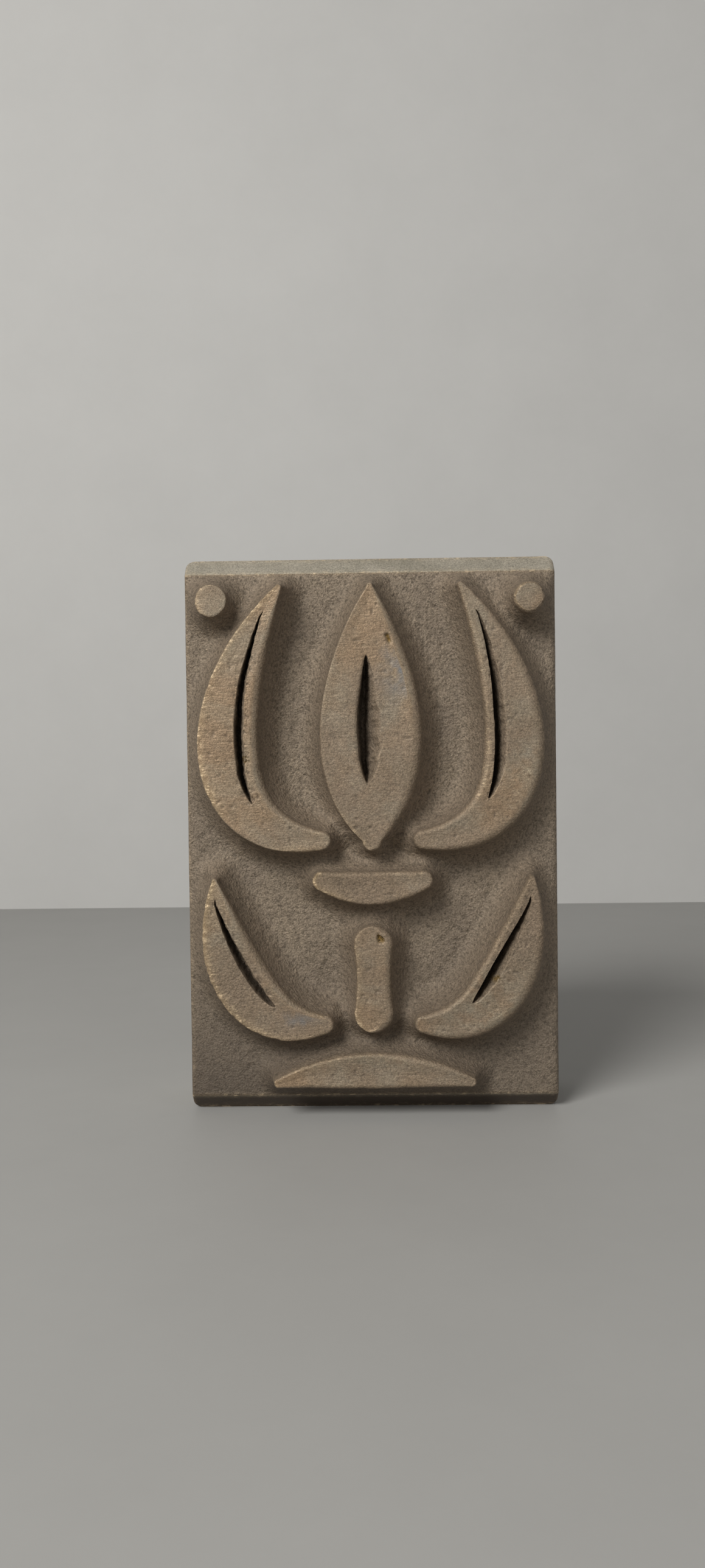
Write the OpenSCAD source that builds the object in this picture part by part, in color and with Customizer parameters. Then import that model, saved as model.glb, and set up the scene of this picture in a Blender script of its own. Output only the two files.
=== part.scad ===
// Printing die: a bronze block of type height with bevelled clamping edges. A flower ornament stands on
// its face as separate bronze forms, each drawn down by screws from the back.
// The die stands upright, as it is stored: the printing face looks along -Y and the back along +Y.

/* [Block] */
// Width of the block
block_w = 60; // [56:0.5:72]
// Height of the block, as it stands
block_h = 90; // [86:0.5:104]
// Depth from the back to the printing face, which is the height of the type it prints with
type_h = 23.56; // [21:0.02:26]
// Size of the bevel along the top and bottom edges of the front, where the clamps take hold
bevel = 2.6; // [1:0.1:4]
// Radius of the four upright corners of the outline
corner_r = 1.5; // [0.5:0.1:3]

/* [Relief] */
// Height of the printing faces above the floor of the block
relief_h = 6; // [5:0.1:7]
// Draft of the side walls, in degrees
draft = 9; // [5:0.5:11]
// Cove where a form meets the floor
cove = 0.45; // [0.2:0.05:0.7]
// Softened edge round each printing face
edge_round = 0.3; // [0.1:0.05:0.35]
// Bare floor left between the feet of neighbouring forms
channel = 0.5; // [0.3:0.05:1]
// Bare floor left between the forms and the edges of the face
margin = 1.1; // [0.5:0.1:2]

/* [Flower] */
// Width of the middle petal at its belly
middle_petal_w = 16; // [13:0.25:17]
// Width of each side petal at its belly
side_petal_w = 9.6; // [8:0.2:11]
// How far apart the tips of the side petals stand from the middle
petal_tip_x = 14.25; // [12.5:0.25:15]
// Radius of the pearls beside the petal tips
pearl_r = 2.5; // [2.2:0.1:2.7]

/* [Stalk] */
// Length of the collar across the stalk
collar_l = 19; // [17:0.25:22]
// Thickness of the collar at its middle
collar_t = 5.2; // [4.6:0.1:6]
// Length of the stem
stem_l = 17; // [15:0.25:20]
// Width of the stem at its middle
stem_w = 5.4; // [4.8:0.1:6.4]
// Width of each leaf at its belly
leaf_w = 9; // [7.6:0.2:10]
// Length of the mound at the foot
mound_l = 32; // [27:0.5:38]
// Thickness of the mound at its middle
mound_t = 5.6; // [4.8:0.1:6.4]

/* [Engraved veins] */
// Width of the open vein down the middle petal
middle_vein_w = 3; // [2:0.1:4]
// Width of the narrow veins in the side petals and leaves
side_vein_w = 1.5; // [1:0.1:1.8]
// Width of the thin rail left beside a narrow vein
rail_w = 1.2; // [0.9:0.05:1.4]
// Depth of the veins below the printing face
vein_depth = 4.6; // [3:0.1:4.8]

/* [Screws] */
// Thread diameter of the screws that hold the forms
screw_d = 3; // [2.5:0.1:3.2]
// Length of the screws under the head
screw_l = 20; // [18.5:0.1:20.2]
// Diameter of the cheese heads
head_d = 5.5; // [5:0.1:6]
// Height of the cheese heads
head_h = 2; // [1.6:0.1:2.2]
// Width of the slot in each head
slot_w = 0.8; // [0.6:0.05:1]
// Depth of the slot in each head
slot_depth = 0.9; // [0.6:0.05:1.1]
// Depth of the heads below the back of the block
head_sink = 0.3; // [0.1:0.05:0.6]
// Clearance round a screw in its clearance hole, on the radius
clearance = 0.2; // [0.1:0.05:0.35]
// Clearance round a screw in its tapped hole, on the radius
thread_gap = 0.05; // [0.02:0.01:0.1]

/* [Hidden] */
$fn = 48;
// Thickness of the block behind the relief
body_t = type_h - relief_h;
// How far the foot of a form stands out past its printing face
spread = relief_h*tan(draft) + cove;
// Gap between the printing faces of neighbouring forms
land_gap = 2*spread + channel;
// Half width that the pointed end of a petal keeps
tip_half = 0.45;
// Half width at the foot of the petals and leaves
base_half = 1.5;
// Half width of the stem at its flared ends
stem_end = stem_w*0.58;
// Steps along a form, and the angles of the rungs that round off each of its ends
stations = 28;
end_angles = [25, 50, 75];
// How far a cutter runs past the surface that it opens
past = 1;
// Depth of the hole for the screw's end past the screw itself
hole_past = 0.25;

// Places up the middle of the block, from its lower edge
mound_y = bevel + margin + spread;
stem_y = mound_y + mound_t + land_gap;
collar_y = stem_y + stem_l + land_gap;
petal_y = collar_y + collar_t + land_gap;
tip_y = block_h - bevel - margin - spread - tip_half;
// Farthest place to the side that a printing face may reach
side_x = block_w/2 - margin - spread;

// A point of the cubic curve with control points p, at the share t of its way, and its direction there
function along(p, t) =
    p[0]*pow(1 - t, 3) + 3*p[1]*t*pow(1 - t, 2) + 3*p[2]*t*t*(1 - t) + p[3]*pow(t, 3);
function heading(p, t) =
    let (d = (p[1] - p[0])*pow(1 - t, 2) + 2*(p[2] - p[1])*t*(1 - t) + (p[3] - p[2])*t*t) d/norm(d);
function left_of(d) = [-d[1], d[0]];

// Half widths along a form that is full wide at its middle. lean moves the belly towards the far end.
function belly(full, near_half, far_half, lean = 0) =
    let (m = (4*full - near_half - far_half)/6)
    [near_half, m*(1 - lean), m*(1 + lean), far_half];

// How far to the right a form's printing face reaches
function reach(form) = max([for (i = [0:stations]) let (t = i/stations)
    along(form[0], t)[0] - left_of(heading(form[0], t))[0]*along(form[1], t)]);

// How far a spine must bow for its form to reach x, when the bows a and b reach as far as ra and rb
function bow_for(x, a, b, ra, rb) = a + (x - ra)*(b - a)/(rb - ra);

// A form is its spine and its half widths. Each spine runs from the stalk outwards.
middle_petal_form = [
    [[0, petal_y + base_half], [0, petal_y + 11], [0, tip_y - 13], [0, tip_y]],
    belly(middle_petal_w, base_half, tip_half, -0.14)
];
side_start = [2*base_half + land_gap + 1.7, petal_y + base_half + 0.2];
// The tips keep clear of the pearls
side_tip = [min(petal_tip_x, side_x - 2*pearl_r - land_gap - 4.9), tip_y];
function side_petal_bowed(bow) = [
    [side_start, [bow, side_start[1] + 0.6], [bow, tip_y - 19], side_tip],
    belly(side_petal_w, base_half, tip_half, 0.16)
];
side_petal_form = side_petal_bowed(
    bow_for(side_x, 20, 30, reach(side_petal_bowed(20)), reach(side_petal_bowed(30)))
);
collar_form = [
    [[-collar_l/2 + base_half, collar_y + collar_t/2 + 1.2], [-3, collar_y + collar_t/2 - 0.4],
     [3, collar_y + collar_t/2 - 0.4], [collar_l/2 - base_half, collar_y + collar_t/2 + 1.2]],
    belly(collar_t, base_half, base_half)
];
stem_form = [
    [[0, stem_y + stem_end], [0, stem_y + stem_l*0.35], [0, stem_y + stem_l*0.65],
     [0, stem_y + stem_l - stem_end]],
    belly(stem_w, stem_end, stem_end)
];
leaf_start = [stem_end + land_gap + base_half, stem_y + base_half - 0.2];
leaf_tip = [side_x - tip_half - 2, petal_y - 4.6];
function leaf_bowed(bow) = [
    [leaf_start, [0.8*bow, leaf_start[1] - 1], [bow, leaf_start[1] + 9.5], leaf_tip],
    belly(leaf_w, base_half, tip_half, 0.14)
];
leaf_form = leaf_bowed(bow_for(side_x, 20, 30, reach(leaf_bowed(20)), reach(leaf_bowed(30))));
mound_form = [
    [[-mound_l/2 + base_half/2, mound_y + 1], [-mound_l/6, mound_y + mound_t/2 + 0.6],
     [mound_l/6, mound_y + mound_t/2 + 0.6], [mound_l/2 - base_half/2, mound_y + 1]],
    belly(mound_t, base_half/2, base_half/2)
];
pearl_at = [side_x - pearl_r, tip_y + tip_half - pearl_r];

// Shares of the way along each form where its two screws stand, and how far each stands off the spine
// towards the outside, as a share of the half width there
two_screws = [0.34, 0.68];
end_screws = [0.17, 0.83];
off_spine = 0.28;

// The groove of a form: the shares of the way where it starts and ends, its width, and the distance of
// its middle line from the spine, which is 0 or lies a rail in from the inner edge
middle_vein = [0.27, 0.74, middle_vein_w, false];
side_vein = [0.3, 0.93, side_vein_w, true];

// A form's outline is a ladder along its spine: each rung is its middle and the step from there to the
// outline on its left. grow is added to every half width.
function ladder(form, grow) =
    let (spine = form[0], halves = form[1], near = heading(spine, 0), far = heading(spine, 1))
    concat(
        [for (k = [len(end_angles) - 1:-1:0]) let (r = halves[0] + grow, a = end_angles[k])
            [spine[0] - r*sin(a)*near, r*cos(a)*left_of(near)]],
        [for (i = [0:stations]) let (t = i/stations)
            [along(spine, t), left_of(heading(spine, t))*(along(halves, t) + grow)]],
        [for (a = end_angles) let (r = halves[3] + grow)
            [spine[3] + r*sin(a)*far, r*cos(a)*left_of(far)]]
    );

// The same for a groove, at the share open of its full width. It is widest past its middle and comes to
// a point at both ends.
function groove_ladder(form, groove, open) =
    let (from = groove[0], to = groove[1], half = groove[2]/2*open, point = 0.06)
    [for (i = [0:stations]) let (s = i/stations, t = from + (to - from)*s)
        let (n = left_of(heading(form[0], t)), h = along(form[1], t))
        let (off = groove[3] ? max(0, h - rail_w - groove[2]/2) : 0)
        [along(form[0], t) + n*off, n*(point + half*pow(max(0, sin(180*pow(s, 0.8))), 0.75))]];

// A solid through ladders of equal length, one above the other at the given heights
module stack(ladders, heights) {
    last = len(ladders[0]) - 1;
    m = 2*last + 2;
    points = [for (k = [0:len(heights) - 1]) for (i = [0:m - 1])
        let (rung = ladders[k][min(i, m - 1 - i)])
        let (p = i <= last ? rung[0] + rung[1] : rung[0] - rung[1]) [p[0], p[1], heights[k]]];
    sides = [for (k = [0:len(heights) - 2]) for (i = [0:m - 1])
        let (a = k*m + i, b = k*m + (i + 1)%m) for (f = [[a, b, b + m], [a, b + m, a + m]]) f];
    foot = [for (i = [0:last - 1]) let (j = m - 1 - i) for (f = [[i, j, j - 1], [i, j - 1, i + 1]]) f];
    top = [for (i = [0:last - 1]) let (a = (len(heights) - 1)*m, j = m - 1 - i)
        for (f = [[a + j, a + i, a + j - 1], [a + j - 1, a + i, a + i + 1]]) f];
    polyhedron(points, concat(foot, sides, top), convexity = 6);
}

// The side of every form, as how far it stands out past the printing face and its height above the
// floor: the cove, the drafted wall and the softened edge
wall = [
    [spread, 0],
    [relief_h*tan(draft) + cove*0.3, cove*0.3],
    [(relief_h - cove)*tan(draft), cove],
    [edge_round*tan(draft), relief_h - edge_round],
    [-edge_round*0.3, relief_h - edge_round*0.3],
    [-edge_round, relief_h]
];

module raised(form) {
    translate([0, 0, body_t])
        stack([for (w = wall) ladder(form, w[0])], [for (w = wall) w[1]]);
}

module vein(form, groove) {
    translate([0, 0, type_h])
        stack([for (open = [0.45, 1, 1.15]) groove_ladder(form, groove, open)], [-vein_depth, 0, past]);
}

// Places of a form's screws
function screw_spots(form, shares, off = 0) =
    [for (t = shares) along(form[0], t) - left_of(heading(form[0], t))*along(form[1], t)*off];
side_petal_screws = screw_spots(side_petal_form, two_screws, off_spine);
leaf_screws = screw_spots(leaf_form, two_screws, off_spine);
middle_petal_screws = screw_spots(middle_petal_form, [0.13, 0.86]);
collar_screws = screw_spots(collar_form, end_screws);
stem_screws = screw_spots(stem_form, end_screws);
mound_screws = screw_spots(mound_form, [0.22, 0.78]);
one_side_screws = concat(side_petal_screws, leaf_screws, [pearl_at]);
all_screws = concat(
    middle_petal_screws, collar_screws, stem_screws, mound_screws,
    one_side_screws, [for (p = one_side_screws) [-p[0], p[1]]]
);

// Depth from the back to the seat of the screw heads
seat = head_sink + head_h;

// The tapped holes in the underside of a form
module tapped(spots) {
    for (p = spots)
        translate([p[0], p[1], body_t - past])
            cylinder(h = seat + screw_l + hole_past - body_t + past, d = screw_d + 2*thread_gap);
}

// Lies with its back on z = 0 and is stood up, face to the front
module stood_up() {
    translate([0, type_h/2, 0]) rotate([90, 0, 0]) children();
}

module block_outline() {
    translate([-block_w/2 + corner_r, 0]) square([block_w - 2*corner_r, block_h]);
    translate([-block_w/2, corner_r]) square([block_w, block_h - 2*corner_r]);
    for (x = [-1, 1], y = [corner_r, block_h - corner_r])
        translate([x*(block_w/2 - corner_r), y]) circle(r = corner_r);
}

// Takes off the front's lower edge at 45 degrees
module bevel_cut() {
    translate([-block_w/2 - past, 0, 0])
        rotate([90, 0, 90])
            linear_extrude(block_w + 2*past)
                polygon([[-past, body_t - bevel - past], [bevel + past, body_t + past],
                         [-past, body_t + past]]);
}

module die_block() {
    color("#6d6153") stood_up() difference() {
        linear_extrude(body_t) block_outline();
        bevel_cut();
        translate([0, block_h, 0]) mirror([0, 1, 0]) bevel_cut();
        for (p = all_screws) translate([p[0], p[1], 0]) {
            translate([0, 0, -past]) cylinder(h = body_t + 2*past, d = screw_d + 2*clearance);
            translate([0, 0, -past]) cylinder(h = seat + past, d = head_d + 2*clearance);
        }
    }
}

module middle_petal() {
    color("#8a7966") stood_up() difference() {
        raised(middle_petal_form);
        vein(middle_petal_form, middle_vein);
        tapped(middle_petal_screws);
    }
}

module side_petal() {
    color("#8a7966") difference() {
        raised(side_petal_form);
        vein(side_petal_form, side_vein);
        tapped(side_petal_screws);
    }
}

module leaf() {
    color("#8a7966") difference() {
        raised(leaf_form);
        vein(leaf_form, side_vein);
        tapped(leaf_screws);
    }
}

module pearl() {
    color("#8a7966") difference() {
        translate([pearl_at[0], pearl_at[1], body_t])
            rotate_extrude()
                polygon(concat([[0, 0]], [for (w = wall) [pearl_r + w[0], w[1]]], [[0, relief_h]]));
        tapped([pearl_at]);
    }
}

module collar() {
    color("#8a7966") stood_up() difference() {
        raised(collar_form);
        tapped(collar_screws);
    }
}

module stem() {
    color("#8a7966") stood_up() difference() {
        raised(stem_form);
        tapped(stem_screws);
    }
}

module mound() {
    color("#8a7966") stood_up() difference() {
        raised(mound_form);
        tapped(mound_screws);
    }
}

// One slotted cheese-head screw, its head towards the back
module cheese_head_screw() {
    difference() {
        union() {
            translate([0, 0, head_sink]) cylinder(h = head_h, d = head_d);
            translate([0, 0, head_sink]) cylinder(h = head_h + screw_l, d = screw_d);
        }
        translate([-head_d, -slot_w/2, head_sink - past]) cube([2*head_d, slot_w, slot_depth + past]);
    }
}

module form_screws() {
    color("#4d4a45") stood_up()
        for (i = [0:len(all_screws) - 1])
            translate([all_screws[i][0], all_screws[i][1], 0])
                rotate(i*47) cheese_head_screw();
}

module on_the_left() {
    mirror([1, 0, 0]) children();
}

die_block();
middle_petal();
stood_up() on_the_left() side_petal();  // left_petal
stood_up() side_petal();  // right_petal
collar();
stem();
stood_up() on_the_left() leaf();  // left_leaf
stood_up() leaf();  // right_leaf
mound();
stood_up() on_the_left() pearl();  // left_pearl
stood_up() pearl();  // right_pearl
form_screws();
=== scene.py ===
# %% [markdown]
# # A built-up bronze printing die
#
# The object is a heavy bronze block that stands on its short side. Its front carries a raised flower:
# every form of it is a separate casting whose top was filed flat, because only the tops print. The
# rest keeps the grey-brown, sandy skin of the mould. Screws from the back hold the forms.
#
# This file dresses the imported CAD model. Each CAD solid gets a finer mesh of the same shape, worked
# out with numpy, and a procedural finish. It starts by loading the CAD frame and keeping its box.

# %% Load the frame
import math
from functools import partial

import bmesh
import bpy
import numpy as np
from mathutils import Matrix, Vector
from mathutils.geometry import delaunay_2d_cdt


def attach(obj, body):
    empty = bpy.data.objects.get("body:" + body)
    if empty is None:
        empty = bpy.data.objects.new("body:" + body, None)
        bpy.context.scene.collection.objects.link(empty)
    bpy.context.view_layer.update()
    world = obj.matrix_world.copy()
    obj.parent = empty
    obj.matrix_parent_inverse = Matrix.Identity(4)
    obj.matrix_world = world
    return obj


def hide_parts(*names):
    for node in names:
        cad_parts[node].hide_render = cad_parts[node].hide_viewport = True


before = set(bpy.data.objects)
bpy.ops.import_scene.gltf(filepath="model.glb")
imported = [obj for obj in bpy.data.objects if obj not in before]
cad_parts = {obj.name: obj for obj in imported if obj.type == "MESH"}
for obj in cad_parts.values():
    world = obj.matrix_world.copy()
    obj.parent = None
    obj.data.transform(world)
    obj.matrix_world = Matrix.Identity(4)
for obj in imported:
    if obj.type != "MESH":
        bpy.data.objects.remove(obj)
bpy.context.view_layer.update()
print("nodes:", sorted(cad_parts))

# %% [markdown]
# ## Sizes
#
# All shapes are drawn in millimetres in a lying frame: x to the right, y up the die, z from the back
# (0) to the printing faces. The values repeat those of the CAD source, so each mesh lands on its solid.

# %% Sizes, in millimetres
block_w, block_h, type_h = 60.0, 90.0, 23.56
bevel, corner_r = 2.6, 1.5
relief_h, cove, channel, margin = 6.0, 0.45, 0.5, 1.1
draft = math.tan(math.radians(9))
body_t = type_h - relief_h
spread = relief_h*draft + cove
land_gap = 2*spread + channel
tip_half, base_half = 0.45, 1.5

middle_petal_w, side_petal_w, petal_tip_x, pearl_r = 16.0, 9.6, 14.25, 2.5
collar_l, collar_t, stem_l, stem_w = 19.0, 5.2, 17.0, 5.4
leaf_w, mound_l, mound_t = 9.0, 32.0, 5.6
stem_end = stem_w*0.58
vein_depth, rail_w = 4.6, 1.2

mound_y = bevel + margin + spread
stem_y = mound_y + mound_t + land_gap
collar_y = stem_y + stem_l + land_gap
petal_y = collar_y + collar_t + land_gap
tip_y = block_h - bevel - margin - spread - tip_half
side_x = block_w/2 - margin - spread


def stood_up(points):
    """From the lying frame in millimetres to the row's frame in metres: y goes up, z to the front."""
    x, y, z = np.moveaxis(np.asarray(points, float), -1, 0)
    return np.stack([x, type_h/2 - z, y], axis=-1)/1000


# %% [markdown]
# ## Strokes
#
# Every form is a stroke, as a punch cutter or an engraver would draw it: a smooth curve down its
# middle, and a width that swells and thins along the way. Both are cubic Bezier curves, the first of
# points and the second of half widths. A pair of hand-cut outlines would do as well, but a stroke keeps
# its two sides in step, which gives the mesh clean rows from side to side.

# %% Curves
def along(values, t):
    """The cubic curve through four control values, at the shares t of its way: each value weighs in by
    its Bernstein share, (1-t)^3, 3t(1-t)^2, 3t^2(1-t) and t^3."""
    v = np.asarray(values, float)
    t = np.asarray(t, float).reshape((-1,) + (1,)*(v.ndim - 1))
    return v[0]*(1 - t)**3 + 3*v[1]*t*(1 - t)**2 + 3*v[2]*t**2*(1 - t) + v[3]*t**3


def heading(spine, t):
    """Unit direction of the curve: the differences of its control points, blended as a parabola."""
    v = np.asarray(spine, float)
    t = np.asarray(t, float).reshape(-1, 1)
    d = (v[1] - v[0])*(1 - t)**2 + 2*(v[2] - v[1])*t*(1 - t) + (v[3] - v[2])*t**2
    return d/np.linalg.norm(d, axis=1, keepdims=True)


def left_of(d):
    return np.stack([-d[:, 1], d[:, 0]], axis=1)


def belly(full, near, far, lean=0.0):
    """Half widths that reach full/2 in the middle; lean moves the belly towards the far end."""
    m = (4*full - near - far)/6
    return [near, m*(1 - lean), m*(1 + lean), far]


def reach(form):
    """How far to the right a form's printing face goes."""
    t = np.arange(29)/28
    return (along(form[0], t)[:, 0] - left_of(heading(form[0], t))[:, 0]*along(form[1], t)).max()


def bowed_to(x, form_at):
    """The form whose bow makes it reach x, from two trials and a straight line between them."""
    ra, rb = reach(form_at(20)), reach(form_at(30))
    return form_at(20 + (x - ra)*10/(rb - ra))


# %% The flower's strokes
side_start = (2*base_half + land_gap + 1.7, petal_y + base_half + 0.2)
side_tip = (min(petal_tip_x, side_x - 2*pearl_r - land_gap - 4.9), tip_y)
leaf_start = (stem_end + land_gap + base_half, stem_y + base_half - 0.2)
leaf_tip = (side_x - tip_half - 2, petal_y - 4.6)


def side_petal_at(bow):
    spine = [side_start, (bow, side_start[1] + 0.6), (bow, tip_y - 19), side_tip]
    return spine, belly(side_petal_w, base_half, tip_half, 0.16)


def leaf_at(bow):
    spine = [leaf_start, (0.8*bow, leaf_start[1] - 1), (bow, leaf_start[1] + 9.5), leaf_tip]
    return spine, belly(leaf_w, base_half, tip_half, 0.14)


middle_petal = (
    [(0, petal_y + base_half), (0, petal_y + 11), (0, tip_y - 13), (0, tip_y)],
    belly(middle_petal_w, base_half, tip_half, -0.14),
)
side_petal = bowed_to(side_x, side_petal_at)
leaf = bowed_to(side_x, leaf_at)
collar_mid = collar_y + collar_t/2
collar = (
    [(-collar_l/2 + base_half, collar_mid + 1.2), (-3, collar_mid - 0.4),
     (3, collar_mid - 0.4), (collar_l/2 - base_half, collar_mid + 1.2)],
    belly(collar_t, base_half, base_half),
)
stem = (
    [(0, stem_y + stem_end), (0, stem_y + stem_l*0.35), (0, stem_y + stem_l*0.65),
     (0, stem_y + stem_l - stem_end)],
    belly(stem_w, stem_end, stem_end),
)
mound_mid = mound_y + mound_t/2 + 0.6
mound = (
    [(-mound_l/2 + base_half/2, mound_y + 1), (-mound_l/6, mound_mid),
     (mound_l/6, mound_mid), (mound_l/2 - base_half/2, mound_y + 1)],
    belly(mound_t, base_half/2, base_half/2),
)
pearl_at = (side_x - pearl_r, tip_y + tip_half - pearl_r)

# Each vein: where it starts and ends along the stroke, its width, and whether it hugs the inner edge
middle_vein = (0.27, 0.74, 3.0, False)
side_vein = (0.3, 0.93, 1.5, True)

# name: stroke, vein, 1 or -1 for the right or left copy
strokes = {
    "middle_petal": (middle_petal, middle_vein, 1),
    "right_petal": (side_petal, side_vein, 1),
    "left_petal": (side_petal, side_vein, -1),
    "collar": (collar, None, 1),
    "stem": (stem, None, 1),
    "right_leaf": (leaf, side_vein, 1),
    "left_leaf": (leaf, side_vein, -1),
    "mound": (mound, None, 1),
}
print("strokes:", len(strokes), "side petal reaches", round(reach(side_petal), 2), "mm")

# %% [markdown]
# ## Rough and worn
#
# Nothing on an old casting is quite straight. One smooth random field, in layers of different size,
# roughens the cast walls, frets the filed edges and dents the block. The field depends on the place
# alone, so a point that two rows share moves the same way in both.

# %% Random field
def unevenness(points, size, seed):
    """Smooth random values from -1 to 1. Space is cut in cubes of the given size, each corner gets a
    number from a whole-number hash of its place, and the eight corners are blended with eased shares."""
    q = np.asarray(points, float)/size + 100.37*seed
    cell = np.floor(q).astype(np.int64)
    f = q - cell
    f = f*f*f*(f*(f*6 - 15) + 10)
    total = np.zeros(q.shape[:-1])
    for corner in np.ndindex(2, 2, 2):
        c = (cell + corner).astype(np.uint64)
        h = (c[..., 0]*np.uint64(73856093)) ^ (c[..., 1]*np.uint64(19349663)) ^ (c[..., 2]*np.uint64(83492791))
        h = (h ^ (h >> np.uint64(13)))*np.uint64(0x9E3779B97F4A7C15)
        h = (h ^ (h >> np.uint64(31)))*np.uint64(0xBF58476D1CE4E5B9)
        share = np.prod(np.where(corner, f, 1 - f), axis=-1)
        total += share*((h >> np.uint64(40)).astype(float)/2**23 - 1)
    return total


def roughness_of(points, size, layers, seed):
    """Layers of unevenness, each half the size and a bit over half the height of the one before."""
    return sum(unevenness(points, size/2**k, seed + k)*0.55**k for k in range(layers))


# %% [markdown]
# ## From rows to a mesh
#
# A piece comes as a grid of points. One function turns it into a closed mesh: it joins the points in
# quads, merges the points that fall together at a pole, makes the faces look outwards and keeps three
# values at each point for the finish: how far the place is filed, how far it is worn (on rims that face
# left also a painted highlight), and how much shade is painted on it.

# %% Grid to mesh
def grid_faces(rows, columns, wrap_rows=False, wrap_columns=False, start=0):
    """Corner numbers of the quads of a grid, whose last row or column may join the first."""
    r = np.arange(rows if wrap_rows else rows - 1)[:, None]
    c = np.arange(columns if wrap_columns else columns - 1)[None, :]
    r2, c2 = (r + 1) % rows, (c + 1) % columns
    quads = [r*columns + c, r2*columns + c, r2*columns + c2, r*columns + c2]
    return np.stack([q + start for q in quads], axis=-1).reshape(-1, 4)


def make_piece(name, points, faces, values=None, crisp=None):
    """A mesh object from points in the lying frame. values maps an attribute name to one number a point.
    Edges that bend by more than crisp degrees are shaded sharp; without it the whole piece is smooth."""
    mesh = bpy.data.meshes.new(name)
    mesh.from_pydata(stood_up(points).tolist(), [], [list(map(int, f)) for f in faces])
    for key, value in (values or {}).items():
        layer = mesh.attributes.new(key, "FLOAT", "POINT")
        layer.data.foreach_set("value", np.clip(value, 0, 1).astype(np.float32).ravel())
    work = bmesh.new()
    work.from_mesh(mesh)
    bmesh.ops.remove_doubles(work, verts=work.verts, dist=1e-7)
    if work.calc_volume(signed=True) < 0:
        bmesh.ops.reverse_faces(work, faces=work.faces)
    open_edges = sum(not e.is_manifold for e in work.edges)
    triangles = sum(len(f.verts) - 2 for f in work.faces)
    work.to_mesh(mesh)
    work.free()
    mesh.shade_smooth()
    if crisp:
        mesh.set_sharp_from_angle(angle=math.radians(crisp))
    piece = bpy.data.objects.new(name, mesh)
    bpy.context.scene.collection.objects.link(piece)
    print(f"{name}: {triangles} triangles, {open_edges} open edges")
    return piece


# %% [markdown]
# ## The raised forms
#
# On the real die each form is cast in sand from a carved pattern. Its sides lean outwards, so that the
# pattern could be drawn from the sand, and its top was filed to one level with all the others. The file
# leaves a crisp rim where it cuts the cast side, softer where the casting was already rounded.
#
# A sculpted mesh would give one such form. A cross-section swept along the stroke gives them all: each
# row goes up the left side, over the rim, across the top, down into the vein and out of it, and down
# the right side. Past the end of the stroke the rows turn round its tip.

# %% Rows along a stroke
def rungs(form, count, cap_count):
    """Rows of a stroke: a place on its spine, the directions to its left and past its end, the angle
    that the row is turned by round the end, and the half width. The angle is 0 along the spine."""
    spine, halves = form
    t = np.linspace(0, 1, count)
    turn = np.radians(90)*np.arange(1, cap_count + 1)/cap_count
    t = np.concatenate([np.zeros(cap_count), t, np.ones(cap_count)])
    angle = np.concatenate([turn[::-1], np.zeros(count), turn])
    ahead = heading(spine, t)
    past_end = np.where(t[:, None] < 0.5, -ahead, ahead)
    return along(spine, t), left_of(ahead), past_end, angle, along(halves, t), t


def side_points(row, grow, side):
    """Points on the outline, grown by grow: half width times (cosine of the turn, sideways, plus its
    sine, past the end). side is 1 for the left of the stroke and -1 for its right."""
    place, left, past_end, angle, half, _ = row
    out = side*np.cos(angle)[:, None]*left + np.sin(angle)[:, None]*past_end
    return place + out*(half + grow)[:, None], out


# %% Cross-section of a form
wall_steps = np.array([0, 0.03, 0.075, 0.14, 0.22, 0.3, 0.4, 0.5, 0.6, 0.7, 0.8, 0.88, 0.95, 1.0])
rim_steps = np.radians([15, 30, 45, 60, 75, 90])
vein_steps = [
    (-1.0, 0.0), (-0.985, 0.04), (-0.96, 0.12), (-0.92, 0.28), (-0.86, 0.5), (-0.78, 0.72), (-0.66, 0.9),
    (-0.5, 0.98), (-0.35, 1.0), (-0.22, 0.97), (-0.1, 0.87), (0.0, 0.74), (0.1, 0.6), (0.2, 0.47),
    (0.3, 0.36), (0.4, 0.27), (0.5, 0.195), (0.6, 0.135), (0.7, 0.085), (0.8, 0.045), (0.88, 0.02),
    (0.95, 0.006), (1.0, 0.0),
]
flaws = np.array([(3.6, 76.6, 1.0), (-19.9, 57.5, 0.7), (1.1, 29.0, 0.6), (19.4, 22.5, 0.7)])
smears = np.array([(4.6, 71.5, 2.6, 4.2), (-11.5, 16.4, 2.6, 1.2)])
scuffs = np.array([(18.0, 18.0, 9.0, 7.0), (0.5, 11.0, 7.0, 4.0), (24.0, 58.0, 4.0, 11.0)])


def flaw_at(x, y):
    """How much of a casting flaw is at a place, from 0 to 1: a bell curve round each flaw's middle, times
    the random field, so that only broken islands of it are left."""
    spot = np.stack([x, y, 0*x], axis=-1)
    far = [((x - fx)**2 + (y - fy)**2)/r**2 for fx, fy, r in flaws]
    broken = 0.75 + 1.3*roughness_of(spot, 0.9, 3, 11)
    return np.clip(1.7*np.exp(-np.min(far, axis=0))*broken - 0.3, 0, 1)


def smear_at(smears, x, y):
    """How much old ink, or scuffing, is at a place, from 0 to 1: a bell in each of the given ellipses,
    broken up by the field."""
    spot = np.stack([x, y, 0*x], axis=-1)
    far = [((x - sx)/rx)**2 + ((y - sy)/ry)**2 for sx, sy, rx, ry in smears]
    return np.exp(-np.min(far, axis=0))*np.clip(0.65 + 0.6*roughness_of(spot, 1.6, 3, 21), 0, 1)


def bared_at(p):
    """How far the file bared the metal. It bit harder at the left and the foot of the die; elsewhere the
    tops lay a bit low in patches, and the skin shows through."""
    bite = 0.4*np.clip(0.4 - p[..., 0]/30, 0, 1) + 0.25*np.clip(1 - p[..., 1]/30, 0, 1)
    return np.clip(0.4 + bite + 0.8*roughness_of(p*[1, 1, 0], 15, 3, 37), 0.1, 1)


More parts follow.
